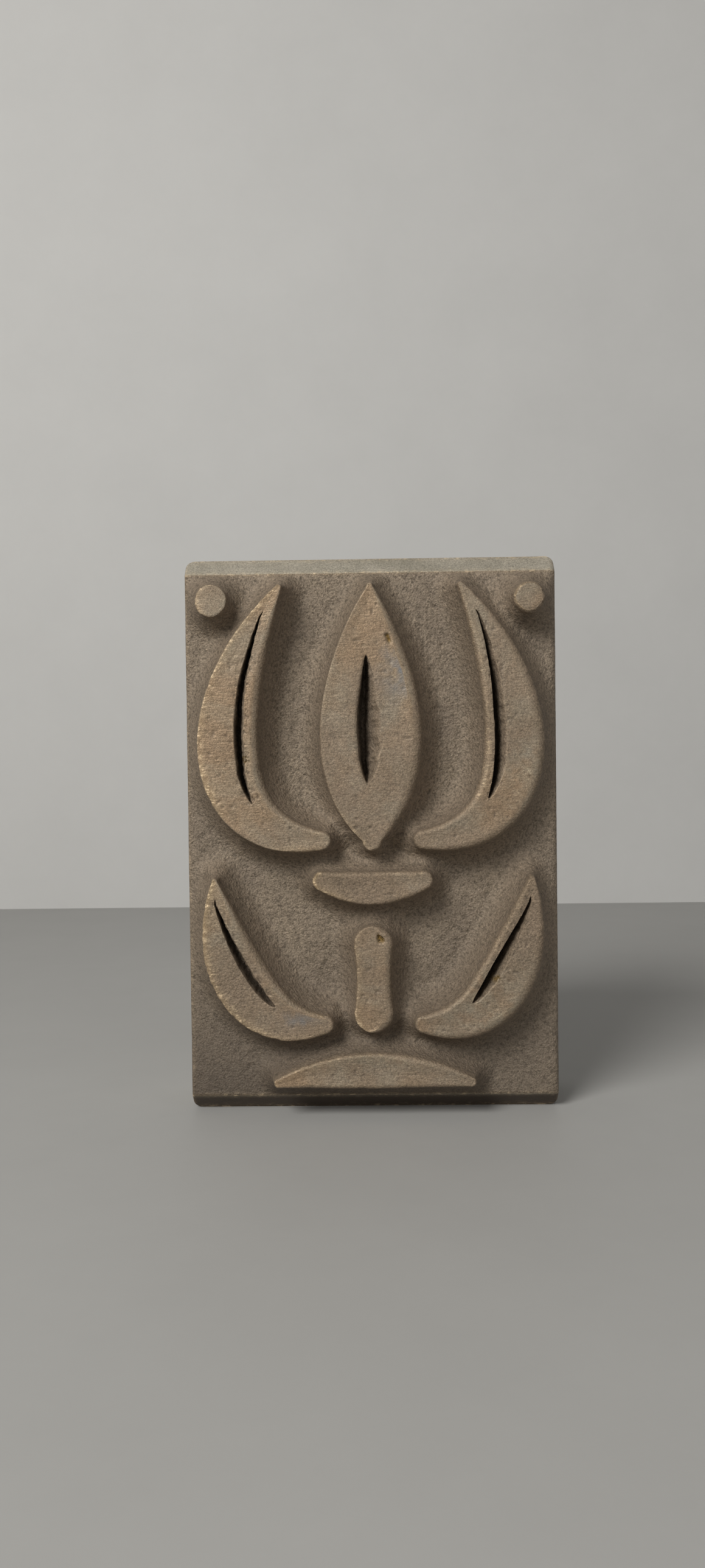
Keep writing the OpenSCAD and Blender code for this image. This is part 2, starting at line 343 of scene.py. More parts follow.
def rim_radius(p, out, half):
    """Radius of the rim round a printing face. The file was pushed to the left and bore on the left half
    of the die: it left the rims that face left crisp there, and those that face right, and the whole
    right half, soft. A thin end has a small rim."""
    spot = np.column_stack([p, 0*half])
    soft = 1.1*np.clip(out[:, 0] + 0.3, 0, 1) + 0.6*np.clip(p[:, 0]/14, 0, 1)
    return np.minimum(np.clip(0.22 + soft + 0.16*unevenness(spot, 5, 41), 0.12, 1.7), 0.35*half + 0.04)


def side_wall(row, side, mirrored):
    """One side of a form from foot to rim. The wall leans out by the draft from the rim down and flares
    in a small cove at its foot, and the rim is a quarter round. Sand roughness moves the wall along its
    outward direction, and the file's burrs and nicks fret the rims that face left."""
    base, out = side_points(row, 0, side)
    base, out = base*[mirrored, 1], out*[mirrored, 1]
    half = row[4]
    rim = rim_radius(base, out, half)
    room = np.clip(np.cos(row[3])*(half + 0.5)/0.8, 0, 1)
    spot = np.column_stack([base, 0*half])
    # faces_left: how far a rim faces left, more on the left and upper part of the die. It frets those rims with
    # nicks, and through worn it also brightens them: partly wear, partly a painted highlight on the side towards the
    # light.
    faces_left = np.clip(0.2 - out[:, 0], 0, 1)*np.clip(0.75 + 1.2*unevenness(spot, 11, 35), 0, 1)
    faces_left *= np.clip(0.75 - base[:, 0]/25, 0.2, 1)*np.clip(0.3 + base[:, 1]/40, 0, 1)
    nick = (0.05 + 0.2*faces_left)*np.clip(unevenness(spot*[0.4, 1, 1], 0.55, 31) - 0.1, 0, 1)
    nick += 0.25*np.clip(unevenness(spot, 1.7, 33) - 0.55, 0, 1)
    nick = np.minimum(nick, 0.4*half)
    columns, filed, worn = [], [], []
    for step in wall_steps:
        z = (relief_h - rim)*step
        grow = (relief_h - rim - z)*draft + cove*np.clip(1 - z/cove, 0, 1)**2
        p = base + out*grow[:, None]
        swell = 0.16*roughness_of(np.column_stack([p, z]), 1.1, 3, 5)*room*min(1, 5*(1 - step))
        columns.append(np.column_stack([p + out*(swell - nick*step**8)[:, None], body_t + z]))
        filed.append(0*half)
        worn.append(0*half + max(0.0, 8*step - 7.2)*faces_left)
    for turn in rim_steps:
        grow = -rim*(1 - math.cos(turn)) - nick
        p = base + out*np.maximum(grow, 0.05 - half)[:, None]
        columns.append(np.column_stack([p, body_t + relief_h - rim*(1 - math.sin(turn))]))
        filed.append(math.sin(turn)**6*bared_at(columns[-1]))
        worn.append(np.clip(0.05 + faces_left, 0, 1)*(1.0 if turn < 1.4 else 0.6))
    return columns, filed, worn, faces_left


def form_piece(name, form, vein, mirrored, spacing=0.17, top_columns=26):
    """The mesh of one form: for each row, its left side, its top and its right side, and a flat foot."""
    length = np.linalg.norm(np.diff(along(form[0], np.linspace(0, 1, 50)), axis=0), axis=1).sum()
    row = rungs(form, int(length/spacing), 12)
    place, left, _, angle, half, t = row
    place, left = place*[mirrored, 1], left*[mirrored, 1]
    columns, filed, worn, left_burr_and_highlight = side_wall(row, 1, mirrored)
    right, right_filed, right_worn, right_burr_and_highlight = side_wall(row, -1, mirrored)

    # Across the top, a place is a share of the way from the left rim (0) to the right rim (1), a drop
    # below the printing face, and how far it belongs to the vein
    start, end, edge, broken = columns[-1], right[-1], len(columns), []
    width = np.maximum(np.linalg.norm((start - end)[:, :2], axis=1), 1e-6)
    if vein:
        vein_start, vein_end, vein_w, inner = vein
        s = np.clip((t - vein_start)/(vein_end - vein_start), 0, 1)
        inside = (angle == 0) & (s > 0) & (s < 1)
        opening = np.where(inside, 0.06 + vein_w/2*np.sin(np.pi*s**0.8)**0.75, 0.02)
        opening = np.minimum(opening, 0.3*width)
        lip = 0.95 if inner and mirrored < 0 else 1.5
        ragged = opening*np.where(inside, lip + 0.14*roughness_of(np.column_stack([place, 0*t]), 1.4, 5, 51), 1)
        open_left, open_right = (opening, ragged)[::mirrored]
        depth = np.where(inside, vein_depth*np.minimum(1, 1.6*np.sin(np.pi*s)**0.45), 0)
        off = np.maximum(0, half - rail_w - vein_w/2) if inner else 0*half
        centre = np.clip(0.5 - off/np.maximum(2*half, 1e-6), 0.02, 0.5)
        near, far = centre - open_left/width, centre + open_right/width
        across = [(near*f, 0*t, 0) for f in np.linspace(0, 1, top_columns//2)[1:-1]]
        profile = vein_steps if mirrored > 0 else [(-w, d) for w, d in vein_steps[::-1]]
        across += [(centre + w*(open_left if w < 0 else open_right)/width, d*depth, 1) for w, d in profile]
        across += [(far + (1 - far)*f, 0*t, 0) for f in np.linspace(0, 1, top_columns)[1:-1]]
    else:
        across = [(f + 0*t, 0*t, 0) for f in np.linspace(0, 1, top_columns + 12)[1:-1]]
    for share, down, in_vein in across:
        p = start + (end - start)*share[:, None]
        wave = 0.06*(roughness_of(p, 7, 2, 61) - 1.55)*np.clip(np.minimum(share, 1 - share)*width/1.5, 0, 1)
        grain = 0.13*roughness_of(p - down[:, None]*[0, 0, 1], 1.1, 4, 63)*np.clip(down*1.5, 0, 1)
        flaw = flaw_at(p[:, 0], p[:, 1])*(1 - in_vein)
        crumbs = 0.34*roughness_of(p, 1.0, 4, 65)*np.clip(down*3, 0, 1)*in_vein
        pocks = 2.5*np.clip(unevenness(p, 0.7, 69) - 0.68, 0, 1)
        if vein and not in_vein:
            from_vein = np.maximum(near - share, share - far)*width
            loose = np.clip(1.8*roughness_of(p, 0.7, 3, 67) - 0.35, 0, 1)
            pocks = np.maximum(pocks, loose*np.exp(-from_vein/0.45)*inside)
        pocks = np.clip(pocks, 0, 1)*(1 - in_vein)*np.clip(width/3, 0, 1)
        broken.append(pocks)
        z = type_h + wave - down + crumbs*np.minimum(1, 2*down)
        z = z - (0.45*flaw + 0.22*pocks)*np.clip(width/4, 0, 1)
        columns.append(np.column_stack([p[:, :2] + left*(grain*np.minimum(1, 3*width))[:, None], z]))
        filed.append(np.clip(1 - down/0.12 - flaw, 0, 1)*bared_at(p))
        # The tops next to those rims take the bright rim colour too: partly burrs, partly a painted highlight
        burr_and_highlight = left_burr_and_highlight*np.exp(-share*width/0.45) + right_burr_and_highlight*np.exp(-(1 - share)*width/0.45)
        worn.append(np.clip(1.3*burr_and_highlight, 0, 1)*(down < 0.05))
    none = [0*t]*edge
    broken = np.stack(none + broken + none, 1)
    columns += right[::-1]
    filed += right_filed[::-1]
    worn += right_worn[::-1]

    points = np.stack(columns, axis=1)
    in_top = np.zeros(points.shape[:2], bool)
    in_top[:, edge:-edge] = True
    drop = type_h - points[..., 2]
    values = {
        "filed": np.stack(filed, 1),
        "worn": np.stack(worn, 1),
        "rubbed": np.clip(1 - drop/4.5, 0, 1),
        # Painted shade: in the vein, darker the deeper it goes, in the pits on the top, and low on the sides
        "painted_shade": np.where(in_top, np.maximum(np.clip((drop - 0.4)/3, 0, 1)*0.35, 0.8*broken), 0.15*np.clip(drop/2, 0, 1)**2),
        "stain": flaw_at(points[..., 0], points[..., 1])*in_top,
        "ink": smear_at(smears, points[..., 0], points[..., 1])*in_top,
        "scuffed": smear_at(scuffs, points[..., 0], points[..., 1]),
    }
    if mirrored < 0:
        points = points[::-1]
        values = {k: v[::-1] for k, v in values.items()}
    faces = grid_faces(*points.shape[:2], wrap_columns=True)
    return make_piece(name, points.reshape(-1, 3), faces, {k: v.ravel() for k, v in values.items()})


pieces = {}
for name, (form, vein, mirrored) in strokes.items():
    pieces[name] = form_piece(name, form, vein, mirrored)

# %% [markdown]
# ## The pearls
#
# Two round pips fill the upper corners. They are turned shapes with the same leaning side and filed
# top, so their profile is carried round an upright axis.

# %% Pearls
def pearl_piece(name, mirrored, steps=96):
    """The profile (radius, height) of foot, wall, rim and top, carried round the pearl's axis."""
    rim = 0.5 + 0.25*mirrored
    z = (relief_h - rim)*wall_steps
    profile = [((relief_h - rim - h)*draft + pearl_r + cove*max(0, 1 - h/cove)**2, h) for h in z]
    profile += [(pearl_r - rim*(1 - math.cos(a)), relief_h - rim*(1 - math.sin(a))) for a in rim_steps]
    profile += [((pearl_r - rim)*f, relief_h) for f in (0.92, 0.8, 0.6, 0.4, 0.2, 0.0)]
    profile = np.array([(0.0, 0.0)] + profile)
    around = np.linspace(0, 2*np.pi, steps, endpoint=False)
    r, h = profile[:, 0][:, None], profile[:, 1][:, None] + 0*around
    x, y = pearl_at[0]*mirrored + r*np.cos(around), pearl_at[1] + r*np.sin(around)
    points = np.stack([x, y, body_t + h], axis=-1)
    loose = ((h > 0) & (h < relief_h - rim))[..., None] + 0.8*((h >= relief_h - rim)*(r > 0.6*pearl_r))[..., None]
    rough = 0.12*roughness_of(points, 1.3, 3, 5)[..., None]
    out = np.stack([np.cos(around) + 0*r, np.sin(around) + 0*r, 0*around + 0*r], axis=-1)
    points = points + out*rough*loose
    filed = (h > relief_h - 0.05)*bared_at(points)
    # The pearl's rim is brightest on its left side: partly wear, partly a painted highlight on the side towards the
    # light
    worn = np.exp(-np.abs(h - relief_h + 0.1)/0.12)*(r > 0.8*pearl_r)*np.clip(0.3 - np.cos(around), 0, 1)
    faces = grid_faces(len(profile), steps, wrap_columns=True)
    values = {"filed": filed.ravel(), "worn": 0.6*worn.ravel(), "rubbed": (h/relief_h).ravel()}
    return make_piece(name, points.reshape(-1, 3), faces, values)


pieces["right_pearl"] = pearl_piece("right_pearl", 1)
pieces["left_pearl"] = pearl_piece("left_pearl", -1)

# %% [markdown]
# ## The screws
#
# M3 cheese-head screws of plain steel come up from the back. A head is a short cylinder with a straight
# slot. Rows that run parallel to the slot, from one edge of the disc to the other, keep the slot's
# walls dead straight, which rings round the middle could not. The shank carries a real helical thread.

# %% Where the screws stand
def spots(form, shares, off=0.0):
    """Places beside the spine: off is the distance to the right of it, as a share of the half width."""
    t = np.array(shares)
    return along(form[0], t) - left_of(heading(form[0], t))*(along(form[1], t)*off)[:, None]


one_side = np.concatenate([spots(side_petal, [0.34, 0.68], 0.28), spots(leaf, [0.34, 0.68], 0.28), [pearl_at]])
screw_spots = np.concatenate([
    spots(middle_petal, [0.13, 0.86]), spots(collar, [0.17, 0.83]), spots(stem, [0.17, 0.83]),
    spots(mound, [0.22, 0.78]), one_side, one_side*[-1, 1],
])
head_r, head_h, head_sink, slot_w, slot_depth, screw_l, screw_r = 2.75, 2.0, 0.3, 0.8, 0.9, 20.0, 1.5
print("screws:", len(screw_spots))


# %% One screw
def screw_grid():
    """A head as rows parallel to its slot. A row at distance x from the middle is a chord of the disc,
    of half length root(r^2 - x^2). Each row goes up one side, across the top and down the other, and
    inside the slot all heights stop at its floor. A second grid is the thread."""
    bend = np.radians(np.linspace(-90, 90, 37))
    half_slot = slot_w/2
    x = np.concatenate([head_r*np.sin(bend), [-half_slot, half_slot, -half_slot - 1e-3, half_slot + 1e-3]])
    x = np.unique(np.round(x, 5))
    levels = np.array([0, 0.25, 0.5, 0.75, 0.93, 0.98, 1.0])
    inset = np.array([0.06, 0, 0, 0, 0.0, 0.04, 0.12])
    across = np.linspace(-1, 1, 13)[1:-1]
    rows = []
    for at in x:
        chord = math.sqrt(max(0, head_r**2 - at**2))
        limit = head_h - slot_depth if abs(at) <= half_slot + 5e-4 else head_h
        sides = [(max(0, chord - i), min(level*head_h, limit)) for level, i in zip(levels, inset)]
        top = sides[-1][0]
        row = [(-c, h) for c, h in sides] + [(f*top, limit) for f in across] + [(c, h) for c, h in sides[::-1]]
        rows.append([(at, c, h) for c, h in row])
    head = np.array(rows)
    head[..., 2] = head_sink + head_h - head[..., 2]

    pitch, around = 0.5, 12
    turns = int(screw_l/pitch)
    steps = np.arange(turns*3 + 1)
    a = np.linspace(0, 2*np.pi, around, endpoint=False)
    z = head_sink + head_h + screw_l*steps/len(steps)
    phase = (steps[:, None]/3 + a[None, :]/(2*np.pi)) % 1
    r = screw_r - 0.29*np.abs(2*phase - 1)*np.minimum(1, (steps[:, None] - 1)/6).clip(0, 1)
    thread = np.stack([r*np.cos(a), r*np.sin(a), z[:, None] + 0*a], axis=-1)
    end = np.array([[(0, 0, z[0])]*around, [(0, 0, z[-1])]*around])
    thread = np.concatenate([end[:1], thread, end[1:]])
    return head, thread


head, thread = screw_grid()
screw_points, screw_faces, screw_worn = [], [], []
for i, (x, y) in enumerate(screw_spots):
    a = math.radians(47*i)
    spin = np.array([[math.cos(a), math.sin(a), 0], [-math.sin(a), math.cos(a), 0], [0, 0, 1]])
    for grid, wrap in ((head, True), (thread, True)):
        start = sum(len(p) for p in screw_points)
        screw_faces.append(grid_faces(grid.shape[0], grid.shape[1], wrap_columns=wrap, start=start))
        flat = grid.reshape(-1, 3)
        screw_worn.append((flat[:, 2] < head_sink + 0.06)*0.7 + 0*flat[:, 0])
        screw_points.append(flat @ spin + [x, y, 0])
pieces["form_screws"] = make_piece(
    "form_screws", np.concatenate(screw_points), np.concatenate(screw_faces),
    {"worn": np.concatenate(screw_worn)}, crisp=30,
)

# %% [markdown]
# ## The block
#
# The block is one thick casting. Sand leaves its front grainy, with soft coves where the floor climbs to
# meet each form and shallow valleys between forms that stand close. The top and bottom edges are planed
# to a bevel, the other edges are only knocked off.
#
# The front is one grid over the whole outline: its height is a function of the place, which needs the
# distance to the nearest form. The grid's border runs on as the four sides, and the back is a flat
# face with round holes, which a constrained triangulation fills.

# %% Distance to the forms
def outline(form, mirrored, grow=0.0):
    """The closed outline of a form's printing face, down its left and back up its right."""
    row = rungs(form, 60, 6)
    ring = np.concatenate([side_points(row, grow, 1)[0], side_points(row, grow, -1)[0][::-1]])
    return ring*[mirrored, 1]


def distance_outside(points, ring):
    """Distance from points to a closed outline, negative inside: the nearest place on any of its edges,
    and an odd number of crossings to the right means inside."""
    a, b = ring, np.roll(ring, -1, axis=0)
    d = b - a
    rel = points[:, None] - a
    share = np.clip((rel*d).sum(-1)/np.maximum((d*d).sum(-1), 1e-12), 0, 1)
    far = np.linalg.norm(rel - share[..., None]*d, axis=-1).min(axis=1)
    between = (a[:, 1] > points[:, 1:2]) != (b[:, 1] > points[:, 1:2])
    rise = np.where(np.abs(d[:, 1]) < 1e-12, 1e-12, d[:, 1])
    cross_x = a[:, 0] + (points[:, 1:2] - a[:, 1])*d[:, 0]/rise
    inside = (between & (points[:, :1] < cross_x)).sum(axis=1) % 2 == 1
    return np.where(inside, -far, far)


def distance_to_forms(points, softness):
    """Distance to the nearest printing face, with the places halfway between two faces rounded off: a
    soft minimum, the logarithm of the sum of falling exponentials. It comes once for each softness."""
    softness = np.array(softness)[:, None]
    total = np.zeros((len(softness), len(points)))
    rings = [outline(form, side) for form, _, side in strokes.values()]
    turn = np.linspace(0, 2*np.pi, 48, endpoint=False)
    for side in (1, -1):
        rings.append(np.array(pearl_at)*[side, 1] + pearl_r*np.column_stack([np.cos(turn), np.sin(turn)]))
    for ring in rings:
        near = (np.abs(points - (ring.min(0) + ring.max(0))/2) < np.ptp(ring, axis=0)/2 + 7).all(axis=1)
        d = np.full(len(points), 9.0)
        d[near] = distance_outside(points[near], ring)
        total += np.exp(-np.clip(d, -9, 9)/softness)
    return -softness*np.log(total)


# %% The front's grid
def spaced(length, step, fine=()):
    """Grid lines from 0 to length about step apart, with extra lines at the distances in fine from
    either end."""
    lines = np.linspace(0, length, int(round(length/step)) + 1)
    extra = np.array(sorted(set(fine)))
    keep = (lines > extra.max() + step/2) & (lines < length - extra.max() - step/2)
    return np.concatenate([extra, lines[keep], length - extra[::-1]])


edge_lines = [0, 0.06, 0.14, 0.25, 0.4, 0.6, 0.85, 1.15, 1.5]
bevel_lines = [0, 0.08, 0.2, 0.4, 0.7, 1.1, 1.5, 1.95, 2.3, 2.48, 2.6, 2.72, 2.9, 3.2]
grid_x = spaced(block_w, 0.27, edge_lines) - block_w/2
grid_y = spaced(block_h, 0.27, bevel_lines)


def round_corners(x, y):
    """The square grid bent into the block's outline. In the square of side r at each corner, the shares
    (a, b) of the way to the edges become (a root(1 - b^2/2), b root(1 - a^2/2)), whose rim is round."""
    cx, cy = np.abs(x) - (block_w/2 - corner_r), np.abs(y - block_h/2) - (block_h/2 - corner_r)
    a, b = np.clip(cx/corner_r, 0, 1), np.clip(cy/corner_r, 0, 1)
    new_x = np.where(a*b > 0, block_w/2 - corner_r + corner_r*a*np.sqrt(1 - b*b/2), np.abs(x))
    new_y = np.where(a*b > 0, block_h/2 - corner_r + corner_r*b*np.sqrt(1 - a*a/2), np.abs(y - block_h/2))
    return np.sign(x)*new_x, block_h/2 + np.sign(y - block_h/2)*new_y


def worn_step(distance, height, radius):
    """A 45-degree bevel of the given height at an edge, with its foot and brow rounded by radius: a soft
    minimum of the bevel's own line and nothing."""
    raw = height - distance
    return 0.5*(raw + np.sqrt(raw*raw + radius*radius))


def front_height(x, y, near, valley):
    """Height of the block's front above its back: the flat floor, less the bevels and worn edges, plus
    the coves that climb towards the forms as a parabola, plus what the sand left. near is the distance
    to the forms, and valley the same with more softness, which gives rounded valleys between forms."""
    to_end = np.minimum(y, block_h - y)
    to_side = block_w/2 - np.abs(x)
    place = np.column_stack([x, y, 0*x])
    chips = 0.5*np.clip(unevenness(place, 1.6, 74) - 0.6, 0, 1)
    fall = worn_step(to_end, bevel + 0.05*unevenness(place, 4, 72) + chips, 0.14)
    side_r = np.where(x > 0, 1.1, 0.5) + 0.15*unevenness(place*[0, 1, 0], 7, 71)
    fall_side = side_r*(1 - np.sqrt(1 - np.clip(1 - to_side/side_r, 0, 1)**2))
    climb = np.clip(1 - (valley - 0.3)/3.4, 0, 1.13)
    lift = 3.6*climb**2*np.clip((to_end - bevel)/0.9, 0, 1)*np.clip(to_side/0.9, 0, 1)
    open_floor = np.clip((to_end - bevel)/0.6, 0, 1)
    crumbs = 0.04 + 0.11*np.exp(-np.clip(near, 0, 9)/2.2)
    sand = crumbs*roughness_of(place, 1.1, 3, 81) + 0.05*unevenness(place, 9, 85)
    pits = -0.4*np.clip(unevenness(place, 0.8, 91) - 0.6, 0, 1)
    return body_t - fall - fall_side + (lift + sand + pits)*open_floor*(near > -0.45)


lay_x, lay_y = np.meshgrid(grid_x, grid_y, indexing="ij")
front_x, front_y = round_corners(lay_x, lay_y)
flat_xy = np.column_stack([front_x.ravel(), front_y.ravel()])
near_form, valley_form = distance_to_forms(flat_xy, (0.45, 1.3))
front_z = front_height(flat_xy[:, 0], flat_xy[:, 1], near_form, valley_form)
front = np.column_stack([flat_xy, front_z])
columns_up = len(grid_y)
print("front grid:", lay_x.shape, "floor from", round(front_z.min(), 2), "to", round(front_z.max(), 2), "mm")

# %% [markdown]
# ### Sides and back
#
# The grid's border, taken once round, is dropped straight back in steps to a small chamfer. The back
# has a pocket for each screw: a wide counterbore for the head and a clearance hole for the shank.

# %% Sides, back and pockets
def border_numbers(rows, columns):
    """Numbers of the grid's border points, once round."""
    n = np.arange(rows*columns).reshape(rows, columns)
    return np.concatenate([n[:-1, 0], n[-1, :-1], n[:0:-1, -1], n[0, :0:-1]])


def pocket(x, y, start, around=32):
    """A screw's pocket as rings: counterbore mouth, its wall, its floor, the clearance hole and its end."""
    a = np.linspace(0, 2*np.pi, around, endpoint=False)
    bore, hole, seat = head_r + 0.2, screw_r + 0.2, head_sink + head_h
    rings = [(bore + 0.12, 0), (bore, 0.12), (bore, 1.2), (bore, seat), (hole, seat), (hole, 9), (hole, body_t - 0.6), (0, body_t - 0.6)]
    points = np.array([np.column_stack([x + r*np.cos(a), y + r*np.sin(a), z + 0*a]) for r, z in rings])
    return points, grid_faces(len(rings), around, wrap_columns=True, start=start)


border = border_numbers(*lay_x.shape)
rim_xy, rim_z = flat_xy[border], front_z[border]
side_steps = np.concatenate([np.linspace(0, 0.965, 12)[1:], [0.98, 0.992, 1.0, 1.0, 1.0]])
back_insets = np.zeros(len(side_steps))
back_insets[-2:] = 0.2, 0.9
parts = [front]
start = len(front)
for step, back_inset in zip(side_steps, back_insets):
    z = rim_z*(1 - step)
    inset = np.clip(0.35 - z, 0, 0.35) + back_inset
    towards = rim_xy - [0, block_h/2]
    corner = np.clip(np.abs(towards) - [block_w/2 - corner_r, block_h/2 - corner_r], 0, None)
    out = np.sign(towards)*corner/np.maximum(np.linalg.norm(corner, axis=1, keepdims=True), 1e-9)
    flat_side = np.linalg.norm(corner, axis=1) < 1e-6
    out[flat_side] = 0
    spot = np.column_stack([rim_xy, z])
    dent = -0.05*np.clip(unevenness(spot, 5, 95), 0, 1)*(step > 0.02)
    parts.append(np.column_stack([rim_xy + out*(dent - inset)[:, None], z]))
faces = [grid_faces(*lay_x.shape)]
loops = [border] + [start + i*len(border) + np.arange(len(border)) for i in range(len(side_steps))]
for upper, lower in zip(loops[:-1], loops[1:]):
    faces.append(np.column_stack([upper, lower, np.roll(lower, -1), np.roll(upper, -1)]))
print("border points:", len(border), "side rows:", len(side_steps))

# %% The back, with its holes
count = sum(len(p) for p in parts)
back_ring = loops[-1]
mouths = []
for x, y in screw_spots:
    points, quads = pocket(x, y, count)
    mouths.append((count, points[0]))
    parts.append(points.reshape(-1, 3))
    faces.append(quads)
    count += points.shape[0]*points.shape[1]
every = np.concatenate(parts)
ring_numbers = [back_ring] + [np.arange(first, first + len(mouth)) for first, mouth in mouths]
flat = [Vector(every[i, :2]) for numbers in ring_numbers for i in numbers]
edges, place = [], 0
for numbers in ring_numbers:
    n = len(numbers)
    edges += [(place + i, place + (i + 1) % n) for i in range(n)]
    place += n
verts2d, _, triangles, *_ = delaunay_2d_cdt(flat, edges, [], 1, 1e-7)
numbers = np.concatenate(ring_numbers)
tri = np.array([t for t in triangles])
middle = np.array([(verts2d[a] + verts2d[b] + verts2d[c])/3 for a, b, c in tri])
clear = np.linalg.norm(middle[:, None] - screw_spots, axis=-1).min(axis=1) > head_r + 0.3
print("back triangles:", clear.sum(), "of", len(tri), "points kept:", len(verts2d) == len(flat))
block_faces = [list(f) for group in faces for f in group] + [list(numbers[t[::-1]]) for t in tri[clear]]

# %% Values for the block's finish
x, y, z = every.T
to_edge = np.minimum(block_w/2 - np.abs(x), np.minimum(y, block_h - y))
on_front = np.zeros(len(every), bool)
on_front[:len(front)] = True
near_all = np.full(len(every), 9.0)
near_all[:len(front)] = near_form
to_end = np.minimum(y, block_h - y)
planed = np.where(on_front & (to_end > bevel + 0.1), 0.0, 1.0)
brow = np.exp(-np.abs(to_end - bevel)/0.2)*on_front*0.45
front_wear = 0.4*np.exp(-np.clip(to_edge, 0, 9)/0.3 - np.clip(body_t - bevel*(to_end < bevel + 0.1) - z, 0, 99)/0.3)
back_wear = 0.5*np.exp(-z/0.3)*(to_edge < 0.5)
# Painted shade on the front's floor next to each form, where it meets the block
painted_crevice_shade = 0.15*np.exp(-np.clip(near_all - 0.3, 0, 9)/1.2)*on_front
# Painted shade on the lower bevel and just above it, where the block stands on the floor
painted_foot_shade = np.exp(-np.clip(y - bevel + 0.4, 0, 99)/0.7)*on_front
# Painted shade: the front darkens towards its foot, more on the left
painted_low_shade = (0.66 - x/150)*np.clip(1 - y/30, 0, 1)*on_front
# Painted shade inside the screw pockets
inside = 0.9*((z > 1) & (z < 17.2) & (to_edge > 1) & ~on_front)
block_values = {
    "planed": planed,
    "rubbed": np.clip(1 - (near_all - 0.3)/3.2, 0, 1)*0.75,
    "worn": np.clip(np.maximum(brow, front_wear + back_wear), 0, 1),
    "painted_shade": np.maximum(np.maximum(painted_crevice_shade, painted_foot_shade), np.maximum(painted_low_shade, inside)),
}
pieces["die_block"] = make_piece("die_block", every, block_faces, block_values, crisp=40)

# %% [markdown]
# ## Finishes
#
# Colours are given as they look on a screen (sRGB hex) and turned to the linear values that light needs.

# %% Helpers for materials
MIX_SHARE, MIX_A, MIX_B = 0, 6, 7  # the Mix node's sockets when it mixes colours


def colour(code):
    """sRGB hex to linear RGBA: below 0.04045 a straight line, above it a power of 2.4."""
    c = np.array([int(code[i:i + 2], 16)/255 for i in (1, 3, 5)])
    c = np.where(c <= 0.04045, c/12.92, ((c + 0.055)/1.055)**2.4)
    return (*c.tolist(), 1.0)


def add(tree, kind, inputs=None, output=None, stops=None, **settings):
    """Adds a node with its settings, sets or links its inputs and returns the wanted output: the named
    one, or the first that is in use. stops are a colour ramp's (place, colour) pairs."""
    node = tree.nodes.new("ShaderNode" + kind)
    for key, value in settings.items():
        setattr(node, key, value)
    for stop, (place, shade) in zip(node.color_ramp.elements if stops else (), stops or ()):
        stop.position, stop.color = place, shade
    for key, value in (inputs or {}).items():
        if isinstance(value, bpy.types.NodeSocket):
            tree.links.new(value, node.inputs[key])
        else:
            node.inputs[key].default_value = value
    used = [socket for socket in node.outputs if socket.enabled]
    return node.outputs[output] if output else (used[0] if used else None)


def new_tree(name):
    """A material and an adder of nodes to its emptied tree."""
    material = bpy.data.materials.new(name)
    material.use_nodes = True
    material.node_tree.nodes.clear()
    return material, partial(add, material.node_tree)


black, white = (0, 0, 0, 1), (1, 1, 1, 1)
